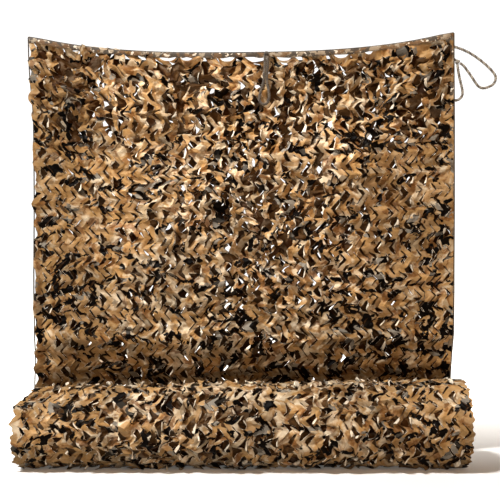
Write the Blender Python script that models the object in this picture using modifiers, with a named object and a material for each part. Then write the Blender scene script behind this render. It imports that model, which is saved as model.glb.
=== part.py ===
"""Camouflage netting: a hung length of slit cloth that runs down behind its own roll and is wound onto it.

Units are metres, +Z up, +Y away from the viewer. The origin is at the middle of the top edge, where the cloth
is hung, so the floor that the roll rests on lies HANG_HEIGHT below it. Heights in the tables are above the floor.
"""

import math

import bmesh
import bpy
from mathutils import Vector, noise

# The hung length
HANG_HEIGHT = 1.430  # of the middle of the top edge
LEFT_CORNER_HEIGHT = 1.485
RIGHT_CORNER_HEIGHT = 1.504
SAG = 0.0645  # of the top edge below the line between its corners
SAG_POWER = 2.7  # how flat the middle of the sag is
BELLY_POWER = 2.4  # how flat the middle of a level section is
CLOTH_THICK = 0.003
HEM_THICK = 0.005
HEM_HEIGHT = 0.018

# The slit cloth: standing zigzag strips with V-shaped gaps between them
STRIPS = 24
ROWS = 32
ZIGZAG = 0.011  # each way, from one row line to the next
GAP_CLOSED = 0.0045
GAP_OPEN = 0.0125
GAP_EVERY = 3  # row lines from one V to the next in a column of gaps
FIRST_GAP_ROW = 1
LOWEST_GAP_HEIGHT = 0.36
EDGE_FADE = 0.07  # the zigzag and the relief die out over this width at the sides
STRIP_TILT = 0.018
ROW_STEP = 0.0025
RELIEF_FADE = (0.30, 0.40)  # heights between which the relief of the hung length dies out above the roll

# The roll
ROLL_LEFT = -0.745
ROLL_RIGHT = 0.763
ROLL_RADIUS = 0.148  # of the outermost turn, where the hung length runs into it
ROLL_TAPER = 0.050  # share by which the radius grows from the middle to the right end
ROLL_AXIS_Y = -0.105
TURN = 0.014  # from one turn to the next
TURNS_SHOWN = 7
TURN_POINTS = 40
FLAT_DEPTH = 0.0035  # how far the roll's underside is pressed flat
TURN_RIDGE = 0.007  # how far a turn stands out from the groove beside it, at the roll's ends
RIM_ROUND = 0.010
ROLL_GAP = 0.008  # between the strips on the outermost turn
ROLL_TILT = 0.0028
ROLL_LUMP = 0.0040
FIRST_RELIEF_STEPS = (0, 4)  # points of the outermost turn over which its relief grows, behind the roll
LAST_RELIEF_STEPS = (37, 32)  # and those over which it dies out again, under the hung length
FLAT_STEPS = (2, 5)  # how many points from the lowest one the relief is nothing, and is full again

# Cords
EDGE_CORD = 0.005
TIE_CORD = 0.008
CLEARANCE = 0.0006  # between a cord or the roll and the cloth
TIE_SPACING = 2.2  # tie diameters from one point of a tube to the next
KNOT_RADIUS = 0.0075
HITCH_RADIUS = 0.006

# The hung length, from the top edge down: the height, the sides of the cloth, and how far its surface stands
# from the plane in which it meets the roll (minus is forward) at its side edges and at its middle
DRAPE = [
    {"height": 1.510, "left": -0.752, "right": 0.752, "edge_depth": -0.028, "middle_depth": -0.036},
    {"height": 1.430, "left": -0.750, "right": 0.752, "edge_depth": -0.029, "middle_depth": -0.036},
    {"height": 1.200, "left": -0.741, "right": 0.752, "edge_depth": -0.034, "middle_depth": -0.052},
    {"height": 0.900, "left": -0.736, "right": 0.749, "edge_depth": -0.046, "middle_depth": -0.078},
    {"height": 0.620, "left": -0.735, "right": 0.745, "edge_depth": -0.056, "middle_depth": -0.092},
    {"height": 0.450, "left": -0.733, "right": 0.744, "edge_depth": -0.055, "middle_depth": -0.080},
    {"height": 0.340, "left": -0.733, "right": 0.741, "edge_depth": -0.034, "middle_depth": -0.042},
    {"height": 0.260, "left": -0.735, "right": 0.740, "edge_depth": -0.013, "middle_depth": -0.013},
    {"height": 0.200, "left": -0.737, "right": 0.742, "edge_depth": -0.003, "middle_depth": -0.003},
    {"height": 0.120, "left": -0.738, "right": 0.744, "edge_depth": 0.000, "middle_depth": 0.000},
]

# Soft folds of the hung length: the line each runs along, as (x, height), its width and how far it stands forward
FOLDS = [
    {"start": (-0.74, 1.46), "end": (-0.20, 0.80), "width": 0.070, "forward": 0.012},
    {"start": (0.74, 1.48), "end": (0.25, 0.75), "width": 0.075, "forward": 0.013},
    {"start": (-0.55, 1.20), "end": (-0.50, 0.50), "width": 0.060, "forward": -0.009},
    {"start": (0.50, 1.15), "end": (0.56, 0.48), "width": 0.065, "forward": -0.009},
    {"start": (-0.12, 1.36), "end": (-0.02, 0.95), "width": 0.060, "forward": 0.008},
    {"start": (-0.66, 0.425), "end": (-0.10, 0.405), "width": 0.022, "forward": 0.009},
    {"start": (0.05, 0.415), "end": (0.66, 0.435), "width": 0.022, "forward": 0.008},
    {"start": (-0.45, 0.350), "end": (0.30, 0.345), "width": 0.018, "forward": -0.007},
]
FOLD_FADE = (0.26, 0.36)  # heights between which the folds die out above the roll

# Routes of the ties, in millimetres right of, behind and above the point of the top edge that each hangs from
CORNER_LOOP_ROUTE = [
    (3.8, 8.7, -43.5), (9, 7.5, -45.5), (17, 4, -49), (29, 1, -54), (44, 0, -61), (60, 0, -69), (86, 0, -86),
    (115, 0, -109), (139, 0, -133), (150, 0, -149), (151.5, 0, -161), (144, -1, -178), (126, -1, -189.5),
    (103, -2, -194), (87, -2, -185), (75, -3, -169), (61.6, -3, -148.6), (48, -3, -129.5), (36, -3, -114),
    (27, -3, -107.5), (23.3, -3, -104.5),
]
CORNER_TAIL_ROUTE = [
    (15.2, -3, -108.2), (15.4, -3, -116), (18, -3, -135), (23, -2, -160), (30, -1, -188), (33.5, 0, -206),
    (31.5, 2, -222), (20, 5, -233.5), (6, 8, -236), (-9, 9.5, -229), (-22, 10.5, -216),
]
CORNER_LINK_ROUTE = [
    (10.4, 0.6, -95.8), (8.6, 4.6, -92.4), (5, 8.2, -89), (0.5, 9.8, -86), (-6, 10.2, -84),
]
MIDDLE_TIE_ROUTE = [
    (4.3, -12.5, -11.6), (5.2, -16, -28), (5.2, -20, -50), (3, -23, -78), (3, -27, -106), (8, -29, -134),
    (10, -31, -162), (4, -31, -180), (-9, -31, -186), (-21, -31, -178), (-24, -31, -162), (-20, -30, -142),
    (-13, -28, -120), (-8, -26, -100), (-6.2, -24, -78), (-4.6, -20, -50), (-4.6, -16, -28), (-4.3, -12.5, -11.6),
]
MIDDLE_TIE_X = 0.087
CORNER_HITCH = (-2.8, 9.6, -41)
CORNER_KNOT = (15.5, -3, -100.5)
MIDDLE_HITCH = (0, -12, -3.5)


def smooth(low, high, value):
    share = min(1.0, max(0.0, (value - low) / (high - low)))
    return share * share * (3 - 2 * share)


def drape(height, column):
    """A column of the drape table, read smoothly at a height."""
    if height >= DRAPE[0]["height"]:
        return DRAPE[0][column]
    for upper, lower in zip(DRAPE, DRAPE[1:]):
        if height >= lower["height"]:
            share = smooth(lower["height"], upper["height"], height)
            return lower[column] + share * (upper[column] - lower[column])
    return DRAPE[-1][column]


def at(x, y, height):
    """A point of the model from its height above the floor."""
    return Vector((x, y, height - HANG_HEIGHT))


def roll_scale(x):
    return 1 + ROLL_TAPER * x / ROLL_RIGHT


def axis_height(x):
    return (ROLL_RADIUS - TURN / 4) * roll_scale(x) - FLAT_DEPTH


def meeting_depth(x):
    """How far back the hung length lies where it runs into the outermost turn."""
    return ROLL_AXIS_Y + ROLL_RADIUS * roll_scale(x) - TURN / 2


def top_height(across):
    line = LEFT_CORNER_HEIGHT + across * (RIGHT_CORNER_HEIGHT - LEFT_CORNER_HEIGHT)
    return line - SAG * (1 - abs(2 * across - 1) ** SAG_POWER)


def fold_depth(x, height):
    total = 0.0
    for fold in FOLDS:
        start, end = Vector(fold["start"]), Vector(fold["end"])
        along = end - start
        share = (Vector((x, height)) - start).dot(along) / along.length_squared
        nearest = start + along * min(1.0, max(0.0, share))
        away = (Vector((x, height)) - nearest).length / fold["width"]
        total -= fold["forward"] * math.exp(-away * away)
    return total


def hung_point(across, height):
    """A point of the middle of the hung cloth, without the strips' own relief."""
    x = drape(height, "left") + across * (drape(height, "right") - drape(height, "left"))
    belly = 1 - abs(2 * across - 1) ** BELLY_POWER
    edge, middle = drape(height, "edge_depth"), drape(height, "middle_depth")
    folds = fold_depth(x, height) * smooth(0.0, 0.10, belly) * smooth(*FOLD_FADE, height)
    return at(x, meeting_depth(x) + edge + belly * (middle - edge) + folds, height)


def row_height(row, across):
    """Row line 0 is the top edge, 1 the foot of the hem, and the last one is where the roll takes over."""
    top = top_height(across)
    if row == 0:
        return top
    end = axis_height(ROLL_LEFT + across * (ROLL_RIGHT - ROLL_LEFT)) + CLEARANCE
    return top - HEM_HEIGHT - (row - 1) / (ROWS - 1) * (top - HEM_HEIGHT - end)


def openness(across, row):
    """How far the slits stand open: most in the upper middle, hardly at the sides and low down."""
    middle = math.exp(-(((across - 0.52) / 0.26) ** 2))
    upper = math.exp(-(((row / ROWS - 0.36) / 0.30) ** 2))
    return 0.15 + 0.85 * middle * upper


def strip_edge(line, gap, zigzag, width):
    """Where a strip's edge runs in a cloth of this width, and the share of relief that it has there.

    Even lines are left edges of strips and odd lines right edges.
    """
    strip, is_right = divmod(line, 2)
    pitch = width / STRIPS
    if line in (0, 2 * STRIPS - 1):
        return width * is_right, 0.0
    middle = (strip + 0.5) * pitch
    relief = smooth(pitch / 4, pitch / 4 + EDGE_FADE, min(middle, width - middle))
    side = 1 if is_right else -1
    return middle + side * (pitch - gap) / 2 + zigzag * relief, relief


def make_material(name, color, roughness):
    material = bpy.data.materials.new(name)
    material.use_nodes = True
    shader = material.node_tree.nodes["Principled BSDF"]
    shader.inputs["Base Color"].default_value = (*color, 1)
    shader.inputs["Roughness"].default_value = roughness
    shader.inputs["Metallic"].default_value = 0
    material.diffuse_color = (*color, 1)
    return material


def link_mesh(name, mesh, collection, material):
    bmesh.ops.recalc_face_normals(mesh, faces=mesh.faces)
    piece = bpy.data.objects.new(name, bpy.data.meshes.new(name))
    mesh.to_mesh(piece.data)
    mesh.free()
    piece.data.materials.append(material)
    collection.objects.link(piece)
    return piece


# Hung length: a grid of standing strips and the narrow columns between them, with V-shaped gaps cut through
def strip_point(line, row):
    """Where a strip's edge crosses a row line."""
    width = drape(LEFT_CORNER_HEIGHT, "right") - drape(LEFT_CORNER_HEIGHT, "left")
    gap = GAP_CLOSED + (GAP_OPEN - GAP_CLOSED) * openness((line + 0.5) / (2 * STRIPS), row)
    zigzag = ZIGZAG * (1 if row % 2 else -1) if row > 1 else 0.0
    edge, relief = strip_edge(line, gap, zigzag, width)
    across = edge / width
    height = row_height(row, across)
    point = hung_point(across, height)
    if row > 1:
        strip, is_right = divmod(line, 2)
        tilt = STRIP_TILT * noise.noise(Vector((strip * 1.7, row * 0.9, 3.1))) * (1 if is_right else -1)
        step = ROW_STEP * (1 if (row + strip) % 2 else -1)
        point.y += relief * smooth(*RELIEF_FADE, height) * (tilt + step)
    return point


def is_gap(column, row):
    """A V is two cells of a narrow column, above and below a row line where the zigzag turns."""
    in_v = column % 2 == 1 and (row + column) % GAP_EVERY != 0
    return in_v and row >= FIRST_GAP_ROW and row_height(row + 1, 0.5) > LOWEST_GAP_HEIGHT


def hung_net(collection, material):
    columns = 2 * STRIPS - 1
    cloth = bmesh.new()
    bmesh.ops.create_grid(cloth, x_segments=columns, y_segments=ROWS, size=0.5)
    gaps = []
    for face in cloth.faces:
        middle = face.calc_center_median()
        if is_gap(int((middle.x + 0.5) * columns), int((0.5 - middle.y) * ROWS)):
            gaps.append(face)
    hem = set()
    for point in cloth.verts:
        row = round((0.5 - point.co.y) * ROWS)
        if row < 2:
            hem.add(point)
        point.co = strip_point(round((point.co.x + 0.5) * columns), row)
    thickness = cloth.verts.layers.deform.verify()
    for point in cloth.verts:
        point[thickness][0] = 1.0 if point in hem else CLOTH_THICK / HEM_THICK
    bmesh.ops.delete(cloth, geom=gaps, context="FACES")
    piece = link_mesh("hung_net", cloth, collection, material)
    piece.vertex_groups.new(name="thickness")
    solid = piece.modifiers.new("cloth", "SOLIDIFY")
    solid.thickness = HEM_THICK
    solid.vertex_group = "thickness"
    solid.offset = 0


# Roll: one wound solid. Its section is a spiral's outer turn, with a step where the hung length runs in,
# and the ends show the turns as ridges along the same spiral
def turn_angle(step):
    """Round from the back, underneath, up the front and over the top."""
    return 2 * math.pi * step / TURN_POINTS


def roll_point(x, step, radius_change):
    radius = (ROLL_RADIUS - TURN * step / TURN_POINTS) * roll_scale(x) + radius_change
    height = axis_height(x) - radius * math.sin(turn_angle(step))
    return at(x, ROLL_AXIS_Y + radius * math.cos(turn_angle(step)), max(0.0, height))


def roll_section(roll, line):
    """An edge of a strip on the outermost turn, from where the hung length runs in and once round."""
    long = ROLL_RIGHT - ROLL_LEFT - 2 * RIM_ROUND
    strip, is_right = divmod(line, 2)
    ring = []
    for step in range(TURN_POINTS + 1):
        zigzag = ZIGZAG * math.sin(math.pi * step / 2)
        edge, relief = strip_edge(line, ROLL_GAP, zigzag, long)
        x = ROLL_LEFT + RIM_ROUND + edge
        bare = smooth(*FIRST_RELIEF_STEPS, step) * smooth(*LAST_RELIEF_STEPS, step)
        bare *= smooth(*FLAT_STEPS, abs(step - TURN_POINTS / 4))
        lean = noise.noise(Vector((strip * 1.3, step * 0.35, 7.7)))
        lump = noise.noise(Vector((x * 5, math.cos(turn_angle(step)), math.sin(turn_angle(step)))))
        tilt = ROLL_TILT * (1 + lean) * (1 if is_right else -1) * relief
        ring.append(roll.verts.new(roll_point(x, step, bare * (tilt + ROLL_LUMP * lump))))
    ring.append(roll.verts.new(roll_point(ring[0].co.x, 0, -TURN / 2)))
    return ring


def roll_end(roll, rim, side):
    """Ridges and grooves along the spiral, from the rim inwards to a small plug in the middle."""
    last = TURNS_SHOWN * TURN_POINTS
    x = rim[0].co.x
    ridges, grooves = list(rim[: TURN_POINTS + 1]), [rim[-1]]
    for step in range(1, last + 1):
        loose = 0.004 * noise.noise(Vector((step * 0.35, side * 5, 0.5)))
        if step > TURN_POINTS:
            out = Vector((side * (RIM_ROUND + loose), 0, 0))
            ridges.append(roll.verts.new(roll_point(x, step, 0) + out))
        into = Vector((side * (RIM_ROUND - TURN_RIDGE + loose), 0, 0))
        grooves.append(roll.verts.new(roll_point(x, step, -TURN / 2) + into))
    for step in range(last):
        roll.faces.new((ridges[step], ridges[step + 1], grooves[step + 1], grooves[step]))
        inner = step + TURN_POINTS
        if inner < last:
            roll.faces.new((grooves[step], grooves[step + 1], ridges[inner + 1], ridges[inner]))
    plug = roll.verts.new(at(x + side * (RIM_ROUND - TURN_RIDGE), ROLL_AXIS_Y, axis_height(x)))
    inmost = grooves[-TURN_POINTS - 1 :] + [ridges[-1]]
    for first, second in zip(inmost, inmost[1:] + inmost[:1]):
        roll.faces.new((first, second, plug))


def net_roll(collection, material):
    roll = bmesh.new()
    rings = [roll_section(roll, line) for line in range(2 * STRIPS)]
    for left, right in zip(rings, rings[1:]):
        for k in range(len(left)):
            after = (k + 1) % len(left)
            roll.faces.new((left[k], left[after], right[after], right[k]))
    roll_end(roll, rings[0], -1)
    roll_end(roll, rings[-1], 1)
    link_mesh("net_roll", roll, collection, material)


# Cords: tubes along smooth routes
def curve_through(points, spacing):
    """Points spaced evenly along a Catmull-Rom curve through the given ones."""
    ends = [2 * points[0] - points[1], *points, 2 * points[-1] - points[-2]]
    fine = []
    for before, start, end, after in zip(ends, ends[1:], ends[2:], ends[3:]):
        for k in range(16):
            t = k / 16
            bend = (2 * before - 5 * start + 4 * end - after) * t * t
            twist = (3 * start - before - 3 * end + after) * t * t * t
            fine.append(0.5 * (2 * start + (end - before) * t + bend + twist))
    fine.append(points[-1])
    lengths = [0.0]
    for first, second in zip(fine, fine[1:]):
        lengths.append(lengths[-1] + (second - first).length)
    count = max(3, round(lengths[-1] / spacing) + 1)
    placed, segment = [], 0
    for k in range(count):
        wanted = lengths[-1] * k / (count - 1)
        while segment < len(fine) - 2 and lengths[segment + 1] < wanted:
            segment += 1
        share = (wanted - lengths[segment]) / (lengths[segment + 1] - lengths[segment])
        placed.append(fine[segment].lerp(fine[segment + 1], min(1.0, share)))
    return placed


def tube(name, points, diameter, collection, material):
    curve = bpy.data.curves.new(name, "CURVE")
    curve.dimensions = "3D"
    curve.bevel_depth = diameter / 2
    curve.bevel_resolution = 2
    curve.use_fill_caps = True
    spline = curve.splines.new("POLY")
    spline.points.add(len(points) - 1)
    for slot, point in zip(spline.points, points):
        slot.co = (*point, 1)
    curve.materials.append(material)
    collection.objects.link(bpy.data.objects.new(name, curve))


def edge_cord(collection, material):
    """The border cord: up the left side, along the top edge and down the right side."""
    out = EDGE_CORD / 2 + CLEARANCE
    lowest, step, top_points = 0.16, 0.07, 32
    heights = [lowest + step * k for k in range(19)]
    left = [hung_point(0, height) + Vector((-out, 0, 0)) for height in heights]
    right = [hung_point(1, height) + Vector((out, 0, 0)) for height in reversed(heights)]
    top = []
    for k in range(top_points + 1):
        across = k / top_points
        top.append(hung_point(across, top_height(across)) + Vector((0, 0, out)))
    left_turn = top[0] + Vector((-out, 0, -out * 0.4))
    right_turn = top[-1] + Vector((out, 0, -out * 0.4))
    route = [*left, left_turn, *top, right_turn, *right]
    tube("edge_cord", route, EDGE_CORD, collection, material)


def tie(name, route, hung_from, collection, material):
    points = [hung_from + Vector(step) / 1000 for step in route]
    tube(name, curve_through(points, TIE_CORD * TIE_SPACING), TIE_CORD, collection, material)


def knot(name, place, radius, hung_from, collection, material):
    """A drawn-tight knot: a small ball with the cord's turns as ridges round it."""
    ball = bmesh.new()
    bmesh.ops.create_uvsphere(ball, u_segments=12, v_segments=8, radius=radius)
    for point in ball.verts:
        turn = math.atan2(point.co.y, point.co.x)
        point.co *= 0.93 + 0.07 * math.sin(3 * turn + 9 * point.co.z / radius)
    bmesh.ops.translate(ball, verts=ball.verts, vec=hung_from + Vector(place) / 1000)
    link_mesh(name, ball, collection, material)


def ties(collection, material):
    corner = hung_point(1, RIGHT_CORNER_HEIGHT)
    knot("corner_hitch", CORNER_HITCH, HITCH_RADIUS, corner, collection, material)
    tie("corner_tie_loop", CORNER_LOOP_ROUTE, corner, collection, material)
    knot("corner_knot", CORNER_KNOT, KNOT_RADIUS, corner, collection, material)
    tie("corner_tie_tail", CORNER_TAIL_ROUTE, corner, collection, material)
    tie("corner_tie_link", CORNER_LINK_ROUTE, corner, collection, material)
    left, right = drape(HANG_HEIGHT, "left"), drape(HANG_HEIGHT, "right")
    across = (MIDDLE_TIE_X - left) / (right - left)
    middle = hung_point(across, top_height(across))
    knot("middle_hitch", MIDDLE_HITCH, KNOT_RADIUS, middle, collection, material)
    tie("middle_tie", MIDDLE_TIE_ROUTE, middle, collection, material)


def main():
    for old in list(bpy.data.objects):
        bpy.data.objects.remove(old)
    netting = bpy.data.collections.new("camouflage_netting")
    bpy.context.scene.collection.children.link(netting)
    hung_net(netting, make_material("slit_oxford_cloth", (0.27, 0.16, 0.075), 0.75))
    net_roll(netting, make_material("rolled_oxford_cloth", (0.24, 0.14, 0.065), 0.75))
    edge_cord(netting, make_material("border_cord", (0.13, 0.11, 0.085), 0.8))
    ties(netting, make_material("twisted_tie_cord", (0.42, 0.36, 0.27), 0.8))


main()
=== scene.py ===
# Camouflage netting: a hung length of leaf-cut cloth, its roll, border cord and ties, in a studio
import math
from functools import partial

import bpy
import numpy as np
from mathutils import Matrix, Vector


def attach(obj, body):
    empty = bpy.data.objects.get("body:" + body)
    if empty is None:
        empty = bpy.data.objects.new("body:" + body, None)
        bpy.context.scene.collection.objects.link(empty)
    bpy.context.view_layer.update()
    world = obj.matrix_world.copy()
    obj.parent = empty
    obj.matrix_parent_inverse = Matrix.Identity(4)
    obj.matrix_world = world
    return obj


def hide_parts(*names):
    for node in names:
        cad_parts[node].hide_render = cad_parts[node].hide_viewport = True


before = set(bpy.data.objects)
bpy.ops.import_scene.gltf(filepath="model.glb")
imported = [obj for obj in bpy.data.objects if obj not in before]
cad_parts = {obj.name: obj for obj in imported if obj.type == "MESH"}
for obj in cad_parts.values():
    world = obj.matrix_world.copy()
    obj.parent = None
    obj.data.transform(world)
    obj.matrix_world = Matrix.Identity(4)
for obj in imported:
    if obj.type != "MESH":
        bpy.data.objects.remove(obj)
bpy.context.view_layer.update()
print("frame loaded:", ", ".join(sorted(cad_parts)))

netting = bpy.data.collections.new("netting")
studio = bpy.data.collections.new("studio")
for group in (netting, studio):
    bpy.context.scene.collection.children.link(group)


# Camera, square on to the hung cloth
view = {
    "place": (0.03, -3.0, -0.695),
    "pitch": 90.0,  # degrees up from looking straight down
    "lens": 61.06,  # mm on a sensor 36 mm wide
}
camera = bpy.data.objects.new("camera", bpy.data.cameras.new("camera"))
camera.data.lens = view["lens"]
camera.data.sensor_width = 36.0
camera.location = view["place"]
camera.rotation_euler = (math.radians(view["pitch"]), 0, 0)
studio.objects.link(camera)
bpy.context.scene.camera = camera
bpy.context.scene.view_settings.view_transform = "Standard"


# The form in which the cloth hangs. Heights are above the floor, which is this far below the origin
hang = {
    "height": 1.430,
    "leftCorner": 1.485,
    "rightCorner": 1.504,
    "sag": 0.0645,
    "sagPower": 2.7,
    "bellyPower": 2.4,
    "hemHeight": 0.018,
    "leftBow": 0.010,  # how far the free left edge draws in half way down, and the heights where that starts
    "bowTop": (1.42, 1.15),
    "bowFoot": (0.16, 0.42),
    "foldFade": (0.26, 0.36),  # heights between which the folds die out above the roll
}
# height, left side, right side, depth at the side edges and depth at the middle (minus is forward)
drapeRows = [
    (1.510, -0.752, 0.752, -0.028, -0.036),
    (1.430, -0.750, 0.752, -0.029, -0.036),
    (1.200, -0.741, 0.752, -0.034, -0.052),
    (0.900, -0.736, 0.749, -0.046, -0.078),
    (0.620, -0.735, 0.745, -0.056, -0.092),
    (0.450, -0.733, 0.744, -0.055, -0.080),
    (0.340, -0.733, 0.741, -0.034, -0.042),
    (0.260, -0.735, 0.740, -0.013, -0.013),
    (0.200, -0.737, 0.742, -0.003, -0.003),
    (0.120, -0.738, 0.744, 0.000, 0.000),
]
# start and end of a soft fold as (x, height), its width and how far it stands forward
foldLines = [
    ((-0.74, 1.46), (-0.20, 0.80), 0.070, 0.012),
    ((0.74, 1.48), (0.25, 0.75), 0.075, 0.013),
    ((-0.55, 1.20), (-0.50, 0.50), 0.060, -0.009),
    ((0.50, 1.15), (0.56, 0.48), 0.065, -0.009),
    ((-0.12, 1.36), (-0.02, 0.95), 0.060, 0.008),
    ((-0.712, 0.88), (-0.700, 0.34), 0.012, -0.015),
    ((-0.66, 0.425), (-0.10, 0.405), 0.022, 0.009),
    ((0.05, 0.415), (0.66, 0.435), 0.022, 0.008),
    ((-0.45, 0.350), (0.30, 0.345), 0.018, -0.007),
]
roll = {
    "left": -0.745,
    "right": 0.763,
    "radius": 0.148,
    "taper": 0.050,  # how much thicker it is at the right end
    "axisY": -0.105,
    "turn": 0.014,  # from one turn to the next
    "flatDepth": 0.0035,
    "wrap": 1.04,  # turns of the outer leaves round it, and how much less they stand out on it
    "press": 0.8,
    "endReach": 0.085,  # how far in from an end the turns are made
    "shoulder": 0.045,  # how far the left end is drawn in over the top
    "shoulderTurn": (1.18 * math.pi, 1.46 * math.pi),  # the angles where that starts and ends
    "shorter": 0.009,  # how much its right end stands back from the solid's
    "tips": ((0.0035, 17, 0), (0.003, 41, 1), (0.002, 0, math.pi / 2)),  # reach, waves round it and phase
    "tipWidth": 0.012,
}


def smoothStep(low, high, value):
    share = np.clip((value - low) / (high - low), 0.0, 1.0)
    return share * share * (3 - 2 * share)


def drape(height, column):
    result = np.full(np.shape(height), float(drapeRows[-1][column]))
    for upper, lower in zip(drapeRows, drapeRows[1:]):
        share = smoothStep(lower[0], upper[0], height)
        value = lower[column] + share * (upper[column] - lower[column])
        result = np.where(height >= lower[0], np.where(height < upper[0], value, result), result)
    return np.where(height >= drapeRows[0][0], drapeRows[0][column], result)


def foldDepth(x, height):
    total = 0.0
    for start, end, width, forward in foldLines:
        alongX, alongZ = end[0] - start[0], end[1] - start[1]
        share = ((x - start[0]) * alongX + (height - start[1]) * alongZ) / (alongX**2 + alongZ**2)
        share = np.clip(share, 0, 1)
        away = np.hypot(x - start[0] - share * alongX, height - start[1] - share * alongZ) / width
        total = total - forward * np.exp(-away * away)
    return total


def topHeight(across):
    line = hang["leftCorner"] + across * (hang["rightCorner"] - hang["leftCorner"])
    return line - hang["sag"] * (1 - np.abs(2 * across - 1) ** hang["sagPower"])


def rollScale(x):
    return 1 + roll["taper"] * x / roll["right"]


def axisHeight(x):
    return (roll["radius"] - roll["turn"] / 4) * rollScale(x) - roll["flatDepth"]


# points of the hung cloth, moved forward by a distance
def hungPoints(across, height, forward=0.0):
    left, right = drape(height, 1), drape(height, 2)
    left = left + hang["leftBow"] * smoothStep(*hang["bowTop"], height) * smoothStep(*hang["bowFoot"], height)
    x = left + across * (right - left)
    belly = 1 - np.minimum(1, np.abs(2 * across - 1)) ** hang["bellyPower"]
    edge, middle = drape(height, 3), drape(height, 4)
    folds = foldDepth(x, height) * smoothStep(0, 0.10, belly) * smoothStep(*hang["foldFade"], height)
    meeting = roll["axisY"] + roll["radius"] * rollScale(x) - roll["turn"] / 2
    y = meeting + edge + belly * (middle - edge) + folds - forward
    return np.stack([x, y, height - hang["height"]], -1)


# points of the wound cloth, from the back, underneath, up the front and over the top
def rollPoints(x, angle, outward=0.0):
    radius = (roll["radius"] - roll["turn"] * angle / (2 * math.pi)) * rollScale(x) + outward
    height = np.maximum(0.0006, axisHeight(x) - radius * np.sin(angle))
    y = roll["axisY"] + radius * np.cos(angle)
    return np.stack(np.broadcast_arrays(x, y, height - hang["height"]), -1)


# Meshes
def linkMesh(name, points, faces, uv=None, materials=()):
    mesh = bpy.data.meshes.new(name)
    mesh.from_pydata(np.asarray(points).tolist(), [], np.asarray(faces).tolist())
    if uv is not None:
        layer = mesh.uv_layers.new(name="clothMetres")
        layer.data.foreach_set("uv", uv[np.asarray(faces).ravel()].ravel())
    mesh.shade_smooth()
    piece = bpy.data.objects.new(name, mesh)
    for material in materials:
        mesh.materials.append(material)
    netting.objects.link(piece)
    return piece


# quads between the neighbours in a grid of point numbers
def gridQuads(index):
    corners = [index[..., :-1, :-1], index[..., :-1, 1:], index[..., 1:, 1:], index[..., 1:, :-1]]
    return np.stack(corners, -1).reshape(-1, 4)


# points, quads and UV map of a grid of rows by columns of points, the columns joined into a ring if closed
def gridParts(points, uv, closed=False):
    rows, columns = points.shape[:2]
    index = np.arange(rows * columns).reshape(rows, columns)
    if closed:
        index = np.concatenate([index, index[:, :1]], 1)
    uv = np.stack(np.broadcast_arrays(*uv), -1).reshape(-1, 2)
    return points.reshape(-1, 3), gridQuads(index), uv


# gives a sheet its two faces and cut edges, the reverse in its second material and the edges in its third
def thicken(piece, thickness, sharpAngle=10.0):
    solid = piece.modifiers.new("thickness", "SOLIDIFY")
    solid.thickness = thickness
    solid.offset = 0
    solid.material_offset = 1
    solid.material_offset_rim = 2
    evaluated = piece.evaluated_get(bpy.context.evaluated_depsgraph_get())
    mesh = bpy.data.meshes.new_from_object(evaluated)
    piece.modifiers.clear()
    piece.data = mesh
    mesh.set_sharp_from_angle(angle=math.radians(sharpAngle))


# Materials
def linear(hexColour):
    parts = [int(hexColour[i : i + 2], 16) / 255 for i in (1, 3, 5)]
    return tuple(p / 12.92 if p <= 0.04045 else ((p + 0.055) / 1.055) ** 2.4 for p in parts) + (1.0,)


smooth = {"interpolation_type": "SMOOTHSTEP"}
times = {"operation": "MULTIPLY"}


# adds a node with its settings, links, values and hex colours, and gives the socket that comes out of it
def addNode(tree, kind, sockets, output=0, **settings):
    node = tree.nodes.new("ShaderNode" + kind)
    for name, value in settings.items():
        setattr(node, name, value)
    for key, value in sockets.items():
        if isinstance(value, bpy.types.NodeSocket):
            tree.links.new(value, node.inputs[key])
        else:
            node.inputs[key].default_value = linear(value) if isinstance(value, str) else value
    return node.outputs[output]


# a material, what adds nodes to it, the sockets of its shader and what links to them
def newMaterial(name):
    material = bpy.data.materials.new(name)
    material.use_nodes = True
    tree = material.node_tree
    return material, partial(addNode, tree), tree.nodes["Principled BSDF"].inputs, tree.links.new


# a cloudy pattern in lumps of this many millimetres, or patches from 0 to 1 where it is cut at two values
def lumps(add, place, lumpMm, detail, seed, cutAt=None, output=0):
    sockets = {"Vector": place, "W": seed, "Scale": 1000 / lumpMm, "Detail": detail}
    cloud = add("TexNoise", sockets, output, noise_dimensions="4D")
    return add("MapRange", {0: cloud, 1: cutAt[0], 2: cutAt[1]}, **smooth) if cutAt else cloud


# how far a value is from another
def awayFrom(add, value, middle):
    gap = add("Math", {0: value, 1: middle}, operation="SUBTRACT")
    return add("Math", {0: gap}, operation="ABSOLUTE")


# one colour laid over another, as far as a strength times a share says
def layOver(add, under, over, strength, share):
    share = add("Math", {0: share, 1: strength}, **times)
    return add("Mix", {0: share, 6: under, 7: over}, 2, data_type="RGBA")


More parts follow.
